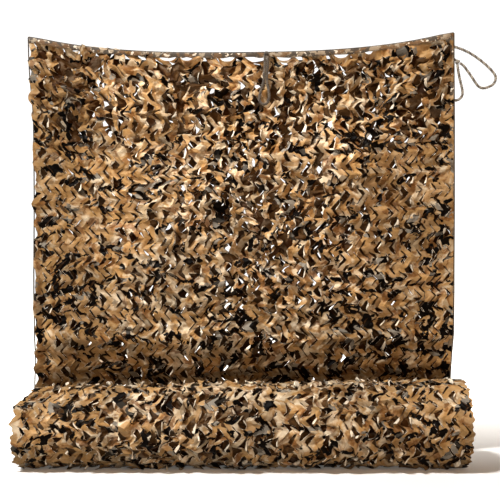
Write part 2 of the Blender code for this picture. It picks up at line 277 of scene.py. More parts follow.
# The print of the cloth: soft brown clouds over a tan ground, with hard-edged near-black blotches and veins.
# Lumps and patches have a size in mm, detail and seed, and patches the two values that they are cut at.
# In braces, 1 and 2 are the values between which something comes in, and 3 and 4 what they are turned into
camo = {
    "tan": "#988467",
    "sand": ("#afa088", 1.0),  # colours laid over it one by one, and how strongly
    "brown": ("#85602d", 0.75),
    "rust": ("#5d350f", 0.7),
    "rubbed": ("#afa088", 0.12),
    "black": "#050200",
    # painted highlight: a grey painted into the black ink as glints
    "inkPaintedGlint": "#6b655b",
    "reverseWash": "#e2d6c0",
    # painted shade: the dark brown washed over the under cloth's face, for the gaps between the leaves
    "shadeBrown": "#291402",
    "singedAndShade": ("#2d1805", 0.85),  # along a hot-knife cut, singed dark and partly painted shade of the slit, with pale frayed bits here and there that are partly a painted highlight
    # pale frayed fibres along the cuts, partly a painted edge highlight
    "frayAndHighlight": ("#f6ead6", 0.80),
    "bends": ((90, 1.0, 45), (24, 2.0, 15)),  # lumps in mm, seed and how many mm they bend the print
    "slant": {"Rotation": (0, 0, 0.6), "Scale": (1, 1.5, 1)},
    "sandPatches": (37.8, 3.0, 3.0, (0.42, 0.60)),
    "brownLumps": (47.25, 3.0, 4.0),
    "brownCut": {1: 0.45, 2: 0.55},
    "rustPatches": (39.9, 3.0, 5.0, (0.54, 0.61)),
    "blotchLumps": (54.6, 3.5, 6.0),
    "crowdLumps": (200, 1.5, 16.0),  # where the blotches crowd together
    "crowding": 0.34,
    "blotchCut": {1: 0.724, 2: 0.734},
    "veinLumps": (105, 1.5, 7.0),
    "veinWidth": {1: 0.046, 2: 0.038},
    "veinPatches": (94.5, 1.5, 8.0, (0.60, 0.62)),
    "rubbedPatches": (9, 3.0, 9.0, (0.45, 0.75)),
    "middle": 0.75,  # metres from the left edge, and how far from there the long edges begin
    "edge": {1: 0.20, 2: 0.65},
    "edgeBrown": 0.08,
    # tones of the half legs where the painted glints come into the black ink
    "paintedGlint": {1: 0.35, 2: 0.75},
    "legContrast": {3: 0.42, 4: 0.28},  # of half legs' dye and their painted facet light and shade, in the middle and near the long edges
    # how far in from a cut the dark band runs: singed edge and partly painted slit shade
    "singedAndShadeWidth": {1: 0.62, 2: 0.88},
    # how far in from a cut the pale frays and painted edge highlight run
    "frayAndHighlightWidth": {1: 0.80, 2: 0.95},
    "frayAndHighlightPatches": (14, 2.0, 10.0, (0.52, 0.64)),
    "gleamLumps": (14, 2.0, 11.0),
    "crumpleLumps": (11, 3.0, 12.0),
    "gleam": (-0.12, 0.16),  # how much smoother and rougher it is in places
    "threadMm": 1.2,  # oxford threads are 0.5 mm apart, too fine to show, so the weave is drawn coarser
    "weave": {"Strength": 0.25, "Distance": 0.0002},
    "crumple": {"Strength": 0.5, "Distance": 0.004},
}
# a painted pool of light round the top middle, uneven dye, and painted shade at the long sides, under the
# roll and at the net's foot, by metres right of the left edge and down from the top
lightShadeAndDye = {
    # painted light: the middle of a pool of light painted onto the cloth, how far it reaches across and down,
    # and where it fades
    "lightPoolMiddle": (0.75, 0.25, 0),
    "reach": (0.75, 0.80),
    "lightPoolFalloff": {1: 0.25, 2: 1.05},
    "lightPoolTint": {3: 1.20, 4: 0.87},  # how pale the painted pool of light makes it there, and far from there
    "dyeLumps": (200, 1.5, 17.0),
    "dyeTook": {1: 0.3, 2: 0.7, 3: 0.70, 4: 1.36},
    # painted shade: how much darker it is drawn in the bands below
    "paintedShade": 0.45,
    # painted shade on the roll's underside and on the net's foot behind the roll: where each band rises, is
    # full, ends and falls, in metres down
    "underRollShade": (1.40, 1.55, 1.84, 1.64),
    "netFootShade": (1.15, 1.24, 1.55, 1.35),
    # painted shade along the hung net's long sides
    "sidesShade": {1: 1.45, 2: 1.25, 4: 0.2},
}


# the printed colours, the cloth's own coordinates in metres and how near they are to its long edges
def camoPrint(add, tone):
    place = add("UVMap", {}, uv_map="clothMetres")
    bent = place
    for lumpMm, seed, reachMm in camo["bends"]:
        shift = lumps(add, place, lumpMm, 1.0, seed, output="Color")
        shift = add("VectorMath", {0: shift, 1: (0.5, 0.5, 0.5)}, operation="SUBTRACT")
        shift = add("VectorMath", {0: shift, "Scale": 2 * reachMm / 1000}, operation="SCALE")
        bent = add("VectorMath", {0: bent, 1: shift})
    slanted = add("Mapping", {"Vector": bent, **camo["slant"]})
    fromMiddle = awayFrom(add, add("SeparateXYZ", {"Vector": place}, "X"), camo["middle"])
    nearEdge = add("MapRange", {0: fromMiddle, **camo["edge"]}, **smooth)
    browner = add("Math", {0: nearEdge, 1: camo["edgeBrown"]}, **times)
    brown = add("Math", {0: lumps(add, slanted, *camo["brownLumps"]), 1: browner})
    brown = add("MapRange", {0: brown, **camo["brownCut"]}, **smooth)
    crowded = lumps(add, place, *camo["crowdLumps"])
    crowded = add("Math", {0: crowded, 1: camo["crowding"]}, **times)
    blotch = add("Math", {0: lumps(add, slanted, *camo["blotchLumps"]), 1: crowded})
    blotch = add("MapRange", {0: blotch, **camo["blotchCut"]}, **smooth)
    vein = awayFrom(add, lumps(add, slanted, *camo["veinLumps"]), 0.5)
    vein = add("MapRange", {0: vein, **camo["veinWidth"]}, **smooth)
    vein = add("Math", {0: vein, 1: lumps(add, place, *camo["veinPatches"])}, **times)
    black = add("Math", {0: blotch, 1: vein}, operation="MAXIMUM")
    sand, rubbed = lumps(add, slanted, *camo["sandPatches"]), lumps(add, place, *camo["rubbedPatches"])
    rust = lumps(add, slanted, *camo["rustPatches"])
    colour = camo["tan"]
    for layer, share in (("sand", sand), ("brown", brown), ("rust", rust), ("rubbed", rubbed)):
        colour = layOver(add, colour, *camo[layer], share)
    # painted highlight: the black ink is painted grey on the paler half legs, as glints on its folds
    paintedGlint = add("MapRange", {0: tone, **camo["paintedGlint"]}, **smooth)
    inkWithGlint = layOver(add, camo["black"], camo["inkPaintedGlint"], 1.0, paintedGlint)
    return layOver(add, colour, inkWithGlint, 1.0, black), place, nearEdge


# a painted pool of light round the top middle, how the dye took, and painted shade at the long sides, under
# the roll and at the net's foot
def paintedLightShadeAndDye(add, place, nearEdge):
    # painted light: paler in a pool round the top middle, darker away from it
    away = add("VectorMath", {0: place, 1: lightShadeAndDye["lightPoolMiddle"]}, operation="SUBTRACT")
    inverse = (1 / lightShadeAndDye["reach"][0], 1 / lightShadeAndDye["reach"][1], 0)
    away = add("VectorMath", {0: away, 1: inverse}, **times)
    away = add("VectorMath", {0: away}, "Value", operation="LENGTH")
    outsidePool = add("MapRange", {0: away, **lightShadeAndDye["lightPoolFalloff"]}, **smooth)
    lightPoolAndDye = add("MapRange", {0: outsidePool, **lightShadeAndDye["lightPoolTint"]})
    took = add("MapRange", {0: lumps(add, place, *lightShadeAndDye["dyeLumps"]), **lightShadeAndDye["dyeTook"]})
    lightPoolAndDye = add("Math", {0: lightPoolAndDye, 1: took}, **times)
    down = add("SeparateXYZ", {"Vector": place}, "Y")
    # painted shade: darker along the hung net's long sides, on the roll's underside and on the net's foot
    # behind the roll
    paintedShade = add("MapRange", {0: down, **lightShadeAndDye["sidesShade"]}, **smooth)
    paintedShade = add("Math", {0: paintedShade, 1: nearEdge}, **times)
    for rise, full, end, fall in (lightShadeAndDye["underRollShade"], lightShadeAndDye["netFootShade"]):
        starts = add("MapRange", {0: down, 1: rise, 2: full}, **smooth)
        ends = add("MapRange", {0: down, 1: end, 2: fall}, **smooth)
        band = add("Math", {0: starts, 1: ends}, **times)
        paintedShade = add("Math", {0: paintedShade, 1: band}, operation="MAXIMUM")
    unshaded = add("Math", {0: paintedShade, 1: -lightShadeAndDye["paintedShade"], 2: 1.0}, operation="MULTIPLY_ADD")
    return add("Math", {0: lightPoolAndDye, 1: unshaded}, **times)


# polyester oxford, roller-printed and hot-cut: a dull satin gleam, and singed edges where it is cut
def oxfordCloth(name, washed, roughness, wash="reverseWash"):
    material, add, shader, link = newMaterial(name)
    tone = add("Attribute", {}, "Fac", attribute_name="legTone")
    colour, place, nearEdge = camoPrint(add, tone)
    colour = layOver(add, colour, camo[wash], washed, 1.0)
    # each half leg's tone darkens or lightens it: partly dye, partly painted light and shade standing for
    # facets turned towards or away from the lamp
    contrast = add("MapRange", {0: nearEdge, **camo["legContrast"]})
    toneLightAndShade = add("Math", {0: tone, 1: contrast, 2: 1.0}, operation="MULTIPLY_ADD")
    toneLightAndShade = add("Math", {0: toneLightAndShade, 1: paintedLightShadeAndDye(add, place, nearEdge)}, **times)
    colour = add("VectorMath", {0: colour, "Scale": toneLightAndShade}, operation="SCALE")
    cut = add("Attribute", {}, "Fac", attribute_name="cutEdge")
    # a dark band along each cut: singed edge, and partly painted shade of the slit
    singedAndShade = add("MapRange", {0: cut, **camo["singedAndShadeWidth"]}, **smooth)
    colour = layOver(add, colour, *camo["singedAndShade"], singedAndShade)
    # pale frays along the cuts: partly frayed fibres, partly painted edge highlight
    frayed = add("MapRange", {0: cut, **camo["frayAndHighlightWidth"]}, **smooth)
    frayed = add("Math", {0: frayed, 1: lumps(add, place, *camo["frayAndHighlightPatches"])}, **times)
    colour = layOver(add, colour, *camo["frayAndHighlight"], frayed)
    link(colour, shader["Base Color"])
    least, most = (roughness + change for change in camo["gleam"])
    rough = add("MapRange", {0: lumps(add, place, *camo["gleamLumps"]), 3: least, 4: most})
    link(rough, shader["Roughness"])
    shader["IOR"].default_value = 1.53
    shader["Specular IOR Level"].default_value = 0.03
    threads = {}
    for thread, direction in enumerate(("X", "Y")):
        sockets = {"Vector": place, "Scale": 314 / camo["threadMm"], "Distortion": 0.4}
        threads[thread] = add("TexWave", sockets, "Fac", bands_direction=direction)
    weave = add("Math", threads)
    weave = add("Bump", {"Height": weave, **camo["weave"]})
    crumple = lumps(add, place, *camo["crumpleLumps"])
    link(add("Bump", {"Height": crumple, "Normal": weave, **camo["crumple"]}), shader["Normal"])
    return material


clothFace = oxfordCloth("printedOxford", 0.0, 0.46)
clothReverse = oxfordCloth("printedOxfordReverse", 0.66, 0.58)
# the cut edges pale: fused polyester, partly a painted highlight where edges catch the light
clothCutHighlight = oxfordCloth("fusedCutEdgeAndHighlight", 0.75, 0.70)
# the under cloth's face, washed nearly to dark brown: painted shade seen through the gaps
clothPaintedShade = oxfordCloth("underOxfordShade", 0.88, 0.62, "shadeBrown")
clothMaterials = (clothFace, clothReverse, clothCutHighlight)
# the under cloth and the roll's inner turn show the painted-shade face in front and the print behind
underMaterials = (clothPaintedShade, clothFace, clothPaintedShade)
turnMaterials = (clothFace, clothFace, clothCutHighlight)
print("materials made")


# Leaf cut: nested zigzag ribbons with V slits between them, turned leaf by leaf and relaxed as cloth
leafCut = {
    "ribbons": 56,
    "pointsAcross": 3,  # of a ribbon
    "pointsPerLeg": 6,
    "legHeight": 0.0375,
    "zigzag": 0.033,  # how far a leg leans sideways
    "slitReach": (0.50, 0.86),  # share of a leg that a slit's arm runs along
    "uncutPlace": (0.50, 0.50, 0.26, 0.42),  # of fewer or more slits: place and size, across and down
    "thickness": 0.0006,
    "nearest": 0.020,  # how far a leaf may stand forward
    "furthest": 0.018,
}
hungWidth = 1.503
hungLegs = 37
rollLegs = 25
allLegs = hungLegs + rollLegs
perLeg = leafCut["pointsPerLeg"]


# smooth noise from -1 to 1 over the flat cloth, with lumps of this size
def evenNoise(generator, u, v, cell):
    columns, rows = int(hungWidth / cell) + 4, int(allLegs * leafCut["legHeight"] / cell) + 4
    coarse = generator.uniform(-1, 1, (columns, rows))
    i, j = np.clip(u / cell + 1, 0, columns - 1.001), np.clip(v / cell + 1, 0, rows - 1.001)
    i0, j0 = np.floor(i).astype(int), np.floor(j).astype(int)
    fi, fj = smoothStep(0, 1, i - i0), smoothStep(0, 1, j - j0)
    upper = coarse[i0, j0] * (1 - fi) + coarse[i0 + 1, j0] * fi
    lower = coarse[i0, j0 + 1] * (1 - fi) + coarse[i0 + 1, j0 + 1] * fi
    return upper * (1 - fj) + lower * fj


def bump2d(x, y, middleX, middleY, sizeX, sizeY):
    return np.exp(-(((x - middleX) / sizeX) ** 2) - ((y - middleY) / sizeY) ** 2)


# how much the leaves stir, from 0 to 1: most along the top and in the middle, least at the sides
stirring = {
    "least": 0.33,
    "top": (0.52, 0.20),  # metres down where it starts and is full
    "roll": (1.42, 1.60),
    "rollMost": 0.62,
    "middle": (0.53, 0.62, 0.25, 0.52),  # place and size, across as a share and down in metres
    "leftEdge": (0, 0.08),
    "rightEdge": (1.0, 0.93),
}


def liveliness(across, down):
    top = smoothStep(*stirring["top"], down)
    middle = bump2d(across, down, *stirring["middle"])
    onRoll = stirring["rollMost"] * smoothStep(*stirring["roll"], down) * (1 - ((across - 0.48) / 0.52) ** 4)
    inward = smoothStep(*stirring["leftEdge"], across) * smoothStep(*stirring["rightEdge"], across)
    most = np.maximum(np.maximum(top, middle), onRoll) * (0.3 + 0.7 * inward)
    return stirring["least"] + (1 - stirring["least"]) * most


# how many ribbons, points across and metres to one, and each point's ribbon, place across and row in legs
def clothGrid():
    ribbons, across = leafCut["ribbons"], leafCut["pointsAcross"]
    k, a = np.arange(ribbons)[:, None, None], np.arange(across + 1)[None, :, None]
    t = (np.arange(allLegs * perLeg + 1) / perLeg)[None, None, :]
    return ribbons, across, hungWidth / ribbons, k, a, t


# the flat ribbons [ribbon, point across, row, (u, v, 0)], which line points are joined and the cut edges
def cutCloth(generator, values):
    ribbons, across, pitch, k, a, t = clothGrid()
    triangle = 1 - 2 * np.abs((t / 2) % 1 * 2 - 1)  # left at even turnings, right at odd ones
    base = (k + a / across) * pitch
    fade = smoothStep(0, 0.03, hungWidth - base) * (0.3 + 0.7 * smoothStep(0, 0.03, base))
    u = base + leafCut["zigzag"] / 2 * triangle * fade

    lines = np.arange(1, ribbons)[:, None]
    rowT = t[0]
    nearest = np.where(lines % 2 == 0, np.round(rowT / 2) * 2, np.round((rowT - 1) / 2) * 2 + 1)
    reachBy = generator.uniform(*leafCut["slitReach"], (ribbons - 1, allLegs + 2))
    down = np.arange(allLegs + 2)[None, :] * leafCut["legHeight"]
    middle = bump2d(lines / ribbons, down, *leafCut["uncutPlace"])
    uncut = values["uncut"] + (values["uncutMiddle"] - values["uncut"]) * middle
    reachBy[generator.random(reachBy.shape) < uncut] = -1
    reach = np.take_along_axis(reachBy, np.clip(nearest, 0, allLegs + 1).astype(int), 1)
    isCut = (np.abs(rowT - nearest) < reach) & (nearest > 0) & (nearest < allLegs)
    gape = np.sqrt(np.clip(1 - ((rowT - nearest) / np.maximum(reach, 0.01)) ** 2, 0, 1)) * isCut
    u = u + 0 * t
    u[1:, 0] += gape * values["kerf"] / 2
    u[:-1, -1] -= gape * values["kerf"] / 2
    edge = np.zeros_like(u)
    edge[1:, 0] = isCut
    edge[:-1, -1] = isCut
    flat = np.stack([u, t * leafCut["legHeight"] + 0 * u, 0 * u], -1)
    return flat, ~isCut, edge


# whether a row's turning is an odd one, which leaf a point is on and which way that leaf's tip points
def leafAt(row, k, a):
    odd = row % 2
    return odd, (k + odd) // 2 + 0 * a, np.where(odd == 0, -1.0, 1.0)


# turns each leaf, the two ribbons that hang together at a turning, about its own middle
def turnLeaves(flat, live, generator, values):
    ribbons, across, pitch, k, a, t = clothGrid()
    shape = (allLegs + 1, ribbons // 2 + 1)
    sign = np.where(generator.random(shape) < values["forwardTips"], 1.0, -1.0)
    lean = sign * generator.uniform(*values["lean"], shape)
    nod, spin, lift = (generator.normal(0, values[name], shape) for name in ("nod", "spin", "lift"))
    curl = generator.uniform(*values["curl"], shape)
    crease = generator.normal(0, values["crease"], shape)
    ridge = generator.normal(values["ridge"], abs(values["ridge"]) + 0.15, shape)
    folded = generator.random(shape)
    folds = ("foldLength", "foldSlant", "foldTurn")
    foldLength, foldSlant, foldTurn = (generator.uniform(*values[name], shape) for name in folds)
    moved = np.zeros_like(flat)
    for offset in (0, 1):
        row = np.minimum(np.floor(t).astype(int) + offset, allLegs) + 0 * k + 0 * a
        share = t - np.floor(t)
        weight = smoothStep(0.3, 0.7, 1 - share if offset == 0 else share)
        odd, pair, side = leafAt(row, k, a)
        du = ((k + odd) % 2 + a / across - 1) * pitch + 0 * t
        dv = (t - row) * leafCut["legHeight"]
        du = du + flat[..., 0] - (k + a / across) * pitch - side * 0.5 * leafCut["zigzag"]
        tip = np.clip(side * du / pitch, -1, 1)
        leanHere, nodHere, spinHere = (angle[row, pair] * live for angle in (lean, nod, spin))
        z = du * side * np.sin(leanHere) + dv * np.sin(nodHere) + lift[row, pair] * live
        z = z + curl[row, pair] * live * np.clip(tip, 0, 1) ** 2
        z = z + (crease[row, pair] * np.abs(du) - ridge[row, pair] * np.abs(dv)) * live
        x = du * np.cos(leanHere) - dv * spinHere
        y = dv * np.cos(nodHere) + du * spinHere
        moved += weight[..., None] * np.stack([x - du, y - dv, z], -1)
    # each leg of a ribbon is twisted its own way
    twist = generator.normal(0, values["twist"], (ribbons, allLegs + 2))
    pleat = generator.normal(0, values["pleat"], (ribbons, allLegs + 2))
    leg = np.floor(t + 0.5).astype(int) + 0 * k
    share = smoothStep(0.1, 0.9, t + 0.5 - leg)
    rows = np.arange(ribbons)[:, None, None]
    for slope, shape in ((twist, a / across - 0.5), (pleat, np.abs(a / across - 0.5) - 0.25)):
        here = slope[rows, np.maximum(leg - 1, 0)] * (1 - share) + slope[rows, leg] * share
        moved[..., 2] += here * shape * pitch * live
    # some tips fold right over, each along its own line, and show the reverse
    row = np.minimum(np.round(t).astype(int), allLegs) + 0 * k + 0 * a
    odd, pair, side = leafAt(row, k, a)
    slant = foldSlant[row, pair]
    inside = pitch - side * ((k + odd) % 2 + a / across - 1 + 0 * t) * pitch
    inside = inside + np.abs(t - row) * leafCut["zigzag"]
    away = inside * np.cos(slant) - (t - row) * leafCut["legHeight"] * np.sin(slant)
    past = np.clip(foldLength[row, pair] - away, 0, None) * (folded[row, pair] < values["foldedTips"] * live)
    radius = values["foldRadius"]
    bend = np.minimum(past / radius, foldTurn[row, pair])
    rest = np.maximum(0, past - bend * radius)
    back = past - radius * np.sin(bend) - rest * np.cos(bend)
    moved[..., 0] -= side * back * np.cos(slant)
    moved[..., 1] -= back * np.sin(slant)
    moved[..., 2] += radius * (1 - np.cos(bend)) + rest * np.sin(bend)
    return flat + moved


# the ribbons after the leaves are turned, pulled back to their cut sizes and to each other
def relaxLeaves(seed, values):
    generator = np.random.default_rng(seed)
    flat, joined, edge = cutCloth(generator, values)
    live = np.clip(liveliness(flat[..., 0] / hungWidth, flat[..., 1]) * values["stir"], 0, 1.2)
    aimed = turnLeaves(flat, live, generator, values)
    for cell, sideways, forward in values["crumples"]:
        for axis, reach in enumerate((sideways, sideways, forward)):
            aimed[..., axis] += reach * live * live * evenNoise(generator, flat[..., 0], flat[..., 1], cell)
    pos = aimed.copy()
    whole, head, tail = slice(None), slice(0, -1), slice(1, None)
    links = []
    for first, second, stiffness in (
        ((whole, head), (whole, tail), 1.0),
        ((head, whole), (tail, whole), 1.0),
        ((head, head), (tail, tail), 0.7),
        ((tail, head), (head, tail), 0.7),
    ):
        one, two = (whole, *first), (whole, *second)
        links.append((one, two, np.linalg.norm(flat[two] - flat[one], axis=-1), stiffness))
    margin = smoothStep(0, 0.04, np.minimum(flat[..., 0], hungWidth - flat[..., 0]))
    for _ in range(values["steps"]):
        move = np.zeros_like(pos)
        count = np.zeros(pos.shape[:3])
        for one, two, rest, stiffness in links:
            gap = pos[two] - pos[one]
            length = np.sqrt((gap * gap).sum(-1)) + 1e-9
            push = gap * (0.5 * stiffness * (1 - rest / length))[..., None]
            move[one] += push
            move[two] -= push
            count[one] += stiffness
            count[two] += stiffness
        pos += move / np.maximum(1, count * 0.5)[..., None]
        pos += (aimed - pos) * values["hold"]
        pos[..., 2] = np.clip(pos[..., 2], -leafCut["furthest"], leafCut["nearest"])
        left, right = pos[:-1, -1], pos[1:, 0]
        middle = (left + right) / 2
        left[joined] = middle[joined]
        right[joined] = middle[joined]
        pos[:, :, 0] = flat[:, :, 0]
        pos[-1, -1] = flat[-1, -1]
    pos[..., 2] *= 0.35 + 0.65 * margin
    # the whole cloth hangs a little askew from place to place
    u, v = flat[..., 0], flat[..., 1]
    settled = smoothStep(0, 0.12, np.minimum(v, np.minimum(u, hungWidth - u)))
    for axis, reach in enumerate(values["askew"]):
        pos[..., axis] += reach * settled * evenNoise(generator, u, v, values["askewLumps"])
    ribbons = leafCut["ribbons"]
    # a tone for each half leg and leg: partly dye, partly painted light and shade of its facet
    tone = generator.normal(0, values["tone"][0], (ribbons, 2 * allLegs))
    tone = tone + generator.normal(0, values["tone"][1], (ribbons, allLegs)).repeat(2, 1)
    tone = np.clip(tone, *values["toneRange"])
    slant = generator.integers(-1, 2, ribbons)
    return {"pos": pos, "flat": flat, "joined": joined, "edge": edge, "tone": tone, "slant": slant}


topCloth = {
    "seed": 7,
    "stir": 1.0,
    "uncut": 0.03,  # share of slits left out, and the same in the middle of the cloth
    "uncutMiddle": 0.03,
    "kerf": 0.0046,  # how wide a slit stands open
    "forwardTips": 0.78,
    "lean": (0.05, 0.60),
    "nod": 0.32,
    "spin": 0.30,
    "lift": 0.004,
    "curl": (-0.003, 0.009),
    "crease": 0.28,  # slope either side of a leaf's middle line, and then of its turning
    "ridge": 0.22,
    "twist": 0.45,  # slope across each leg of a ribbon, and either side of its middle line
    "pleat": 0.75,
    "foldedTips": 0.70,
    "foldLength": (0.010, 0.023),
    "foldSlant": (-0.8, 0.8),
    "foldTurn": (2.0, 2.8),
    "foldRadius": 0.003,
    "crumples": ((0.26, 0.022, 0.004), (0.11, 0.009, 0.006), (0.030, 0.002, 0.006)),
    "askew": (0.008, 0.016),  # sideways and down, in lumps of this size
    "askewLumps": 0.21,
    "tone": (0.42, 0.35),  # how unevenly half legs took the dye, partly painted light and shade of their facets, and then whole legs
    "toneRange": (-1, 0.7),
    "steps": 16,
    "hold": 0.18,
}
underCloth = dict(topCloth, seed=11, stir=0.75, uncut=0.76, uncutMiddle=0.22, kerf=0.0005, forwardTips=0.0,
                  crease=0.2, ridge=-0.1, twist=0.25, pleat=0.3, foldedTips=0.72, foldLength=(0.013, 0.026))
underCloth["crumples"] = ((0.26, 0.030, 0.004), (0.11, 0.016, 0.006), (0.045, 0.005, 0.005))
underShift = (0.0139, 0.018)  # sideways and down, so that its leaves stand behind the gaps
underBehind = {"hung": 0.016, "rolled": 0.014}
underPrint = 0.37  # how far off in the print it was cut


# one welded mesh of the ribbons between two turnings, with the flat cloth's own sizes as its UV map
def leafMesh(name, cloth, place, legRange, materials, uvShift=0.0):
    ribbons, across = leafCut["ribbons"], leafCut["pointsAcross"]
    rows = slice(legRange[0] * perLeg, legRange[1] * perLeg + 1)
    count = rows.stop - rows.start
    index = np.arange(ribbons * (across + 1) * count).reshape(ribbons, across + 1, count)
    joined = cloth["joined"][:, rows]
    for line in range(1, ribbons):
        index[line, 0][joined[line - 1]] = index[line - 1, -1][joined[line - 1]]
    used, compact = np.unique(index, return_inverse=True)
    index = compact.reshape(index.shape)
    points = place(cloth["pos"][:, :, rows]).reshape(-1, 3)[used]
    uv = cloth["flat"][:, :, rows, :2].reshape(-1, 2)[used] + uvShift
    piece = linkMesh(name, points, gridQuads(index), uv, materials)
    edge = piece.data.attributes.new("cutEdge", "FLOAT", "POINT")
    edge.data.foreach_set("value", cloth["edge"][:, :, rows].reshape(-1)[used])
    slanted = cloth["slant"][:, None, None] * (np.arange(across) - 1)[None, :, None]
    half = (np.arange(rows.start, rows.stop - 1)[None, None, :] + slanted) // (perLeg // 2)
    tone = np.take_along_axis(cloth["tone"][:, None], np.clip(half, 0, 2 * allLegs - 1), 2)
    # the tone of each half leg, partly painted light and shade
    piece.data.attributes.new("legTone", "FLOAT", "FACE").data.foreach_set("value", tone.reshape(-1))
    return piece


# where the cloth sags away from the hem between its stitches: across, half width, depth
hemGaps = [
    (0.11, 0.010, 0.006),
    (0.325, 0.020, 0.009),
    (0.370, 0.016, 0.007),
    (0.465, 0.018, 0.010),
    (0.535, 0.026, 0.013),
    (0.600, 0.018, 0.010),
    (0.735, 0.018, 0.009),
    (0.800, 0.010, 0.005),
]


# the leaves along the hem and the two sides of the hung cloth
border = {
    "tuck": 0.011,  # how far they reach up behind the hem
    "looseWidth": 0.010,  # of those of the free left edge that hang out over its cord, and how far they do
    "looseForward": 0.004,
    "looseReach": ((0.001, 0, math.pi / 2), (0.004, 47, 0), (0.003, 131, 1)),  # reach, waves down and phase
    "overHem": 0.0045,  # how far they stand in front of the right side's tape
    "overWidth": 0.020,
    "gapFade": 18,  # how fast the gaps under the hem close again
    "pressed": (0.80, 0.95),  # share of the way down where the leaves begin to be pressed flatter
}


# a sum of waves, each with its reach, how fast it runs and its phase
def waves(at, parts):
    return sum(reach * np.sin(at * speed + phase) for reach, speed, phase in parts)


def hungPlace(behind):
    def place(leaves):
        across = leaves[..., 0] / hungWidth
        down = leaves[..., 1] / (hungLegs * leafCut["legHeight"])
        top = topHeight(across) - hang["hemHeight"] + border["tuck"]
        for middle, halfWidth, depth in hemGaps:
            gap = np.exp(-(((across - middle) / halfWidth) ** 4)) * np.exp(-down * border["gapFade"])
            top = top - (depth + border["tuck"]) * gap
        foot = axisHeight(roll["left"] + across * (roll["right"] - roll["left"]))
        pressed = leaves[..., 2] * (1 - 0.5 * smoothStep(*border["pressed"], down))
        loose = np.exp(-((np.maximum(across, 0) / border["looseWidth"]) ** 2)) * smoothStep(0.0, 0.12, down)
        overHem = border["overHem"] * np.exp(-(((1 - across) / border["overWidth"]) ** 2))
        forward = pressed + border["looseForward"] * loose + overHem - behind
        points = hungPoints(across, top - down * (top - foot), forward)
        points[..., 0] -= loose * waves(down, border["looseReach"])
        return points
    return place


def rollPlace(behind):
    def place(leaves):
        across = leaves[..., 0] / hungWidth
        angle = (leaves[..., 1] / leafCut["legHeight"] - hungLegs) / rollLegs * (2 * math.pi * roll["wrap"])
        drawnIn = roll["shoulder"] * smoothStep(*roll["shoulderTurn"], angle) * (1 - across) ** 6
        x = roll["left"] + across * (roll["right"] - roll["left"]) + drawnIn - roll["shorter"] * across**8
        # the tips at the roll's two ends stand out unevenly
        atLeft, atRight = (np.exp(-((away / roll["tipWidth"]) ** 2)) for away in (across, 1 - across))
        x = x + waves(angle, roll["tips"]) * (atRight - atLeft)
        return rollPoints(x, angle, leaves[..., 2] * roll["press"] - behind)
    return place


# the same cloth moved a little, its borders kept in place
def shifted(cloth, sideways, down):
    inside = smoothStep(0, 0.03, np.minimum(cloth["flat"][..., 0], hungWidth - cloth["flat"][..., 0]))
    moved = dict(cloth, pos=cloth["pos"].copy())
    moved["pos"][..., 0] += sideways * inside
    moved["pos"][..., 1] += down
    return moved


topLeaves = relaxLeaves(topCloth["seed"], topCloth)
underLeaves = shifted(relaxLeaves(underCloth["seed"], underCloth), *underShift)
hungNet = leafMesh("hung_leaf_cloth", topLeaves, hungPlace(0.0), (0, hungLegs), clothMaterials)
hungUnder = leafMesh("hung_under_cloth", underLeaves, hungPlace(underBehind["hung"]), (0, hungLegs),
                     underMaterials, underPrint)
rollWrap = leafMesh("roll_leaf_cloth", topLeaves, rollPlace(0.0), (hungLegs, allLegs), clothMaterials)
rollUnder = leafMesh("roll_under_cloth", underLeaves, rollPlace(underBehind["rolled"]), (hungLegs, allLegs),
                     underMaterials, underPrint)
for piece in (rollWrap, rollUnder):
    piece.data.flip_normals()
for piece in (hungNet, hungUnder, rollWrap, rollUnder):
    thicken(piece, leafCut["thickness"])
print("leaf cloth:", [len(piece.data.polygons) for piece in (hungNet, hungUnder, rollWrap, rollUnder)])


# Hems: folded tape along the top and the right side, a flattened tube stitched down along its inner edge
hemTape = {
    "thickness": 0.0042,
    "sideWidth": 0.013,
    "unevenness": 0.0035,  # of its width
    "ripple": 0.0024,
    "lift": 0.0025,  # of its middle in front of the cloth
    "stitchMm": 6.0,
    "stitchLine": 0.0145,
    "above": 0.0022,  # how far it stands over the top edge, and past the right one
    "outside": 0.0018,
    "sideBack": 0.0035,  # how far its inner edge lies behind the leaves
    "sideFoot": 0.150,
    "length": 1.5,
    "fleck": "#d5cbb9",
    "stitch": "#40362a",
    "wornPatches": (1.0, (26, 4.0, 21.0, (0.48, 0.53))),  # how strong, lumps in mm, detail, seed and cut
    "printedPatches": (0.85, (40, 3.0, 22.0, (0.51, 0.55))),
    "fleckPatches": (0.75, (17, 2.0, 23.0, (0.60, 0.63))),
    "stitchGaps": {1: -0.3, 2: 0.1},
    "stitchWidth": {1: 0.0011, 2: 0.0006},
}


